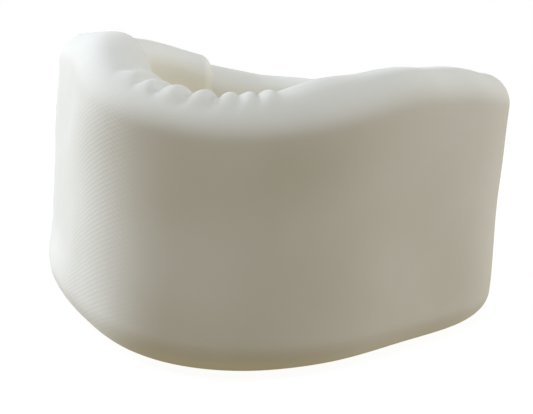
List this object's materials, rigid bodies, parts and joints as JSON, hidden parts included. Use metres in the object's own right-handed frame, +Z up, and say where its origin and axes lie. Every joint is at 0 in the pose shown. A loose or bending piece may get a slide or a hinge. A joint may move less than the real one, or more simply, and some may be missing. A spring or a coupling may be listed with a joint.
{
  "type": "cervical collar",
  "caption": "Soft foam neck support band in a knitted cover, wrapped into a ring and closed by lapped hook-and-loop ends.",
  "frame": {"origin": "middle of the closed collar's footprint, on the plane of its base edge", "axes": "+Z up along the wearer's neck, -Y towards the chin, +X towards the wearer's left"},
  "size_m": [0.1864, 0.204, 0.09],
  "materials": {
    "knit": "matt fine-rib cotton stockinette, off-white",
    "foam": "matt open-cell polyurethane foam, cream",
    "hook": "matt moulded nylon hooks, off-white",
    "loop": "brushed nylon loop pile, white",
    "thread": "spun polyester sewing thread, white"
  },
  "bodies": {
    "chin_section": {"chin_foam": "foam", "chin_cover": "knit"},
    "left_side": {"left_side_foam": "foam", "left_side_cover": "knit"},
    "left_rear": {"left_rear_foam": "foam", "left_rear_cover": "knit"},
    "closure_end": {"closure_end_foam": "foam", "closure_end_cover": "knit", "hook_tape": "hook", "hook_stitching": "thread", "left_end_seam": "thread"},
    "right_side": {"right_side_foam": "foam", "right_side_cover": "knit"},
    "right_end": {"right_end_foam": "foam", "right_end_cover": "knit", "loop_tape": "loop", "loop_stitching": "thread", "right_end_seam": "thread"}
  },
  "joints": [
    {"name": "left_arm_flex_front", "type": "hinge", "parent": "chin_section", "child": "left_side", "pos_m": [0.07172, -0.04621, 0.045], "axis": [0, 0, -1], "range_deg": [0, 27]},
    {"name": "left_arm_flex_rear", "type": "hinge", "parent": "left_side", "child": "left_rear", "pos_m": [0.08626, 0.03507, 0.045], "axis": [0, 0, -1], "range_deg": [0, 36]},
    {"name": "closure_peel", "type": "hinge", "parent": "left_rear", "child": "closure_end", "pos_m": [-0.00632, 0.10124, 0.045], "axis": [0, 0, -1], "range_deg": [0, 60]},
    {"name": "right_arm_flex_front", "type": "hinge", "parent": "chin_section", "child": "right_side", "pos_m": [-0.05622, -0.04478, 0.045], "axis": [0, 0, 1], "range_deg": [0, 11]},
    {"name": "right_arm_flex_rear", "type": "hinge", "parent": "right_side", "child": "right_end", "pos_m": [-0.08078, 0.00676, 0.045], "axis": [0, 0, 1], "range_deg": [0, 11]}
  ],
  "couplings": [
    {"joint": "left_arm_flex_front", "follows": "left_arm_flex_rear", "ratio": 0.75},
    {"joint": "right_arm_flex_front", "follows": "left_arm_flex_rear", "ratio": 0.3},
    {"joint": "right_arm_flex_rear", "follows": "left_arm_flex_rear", "ratio": 0.3}
  ]
}
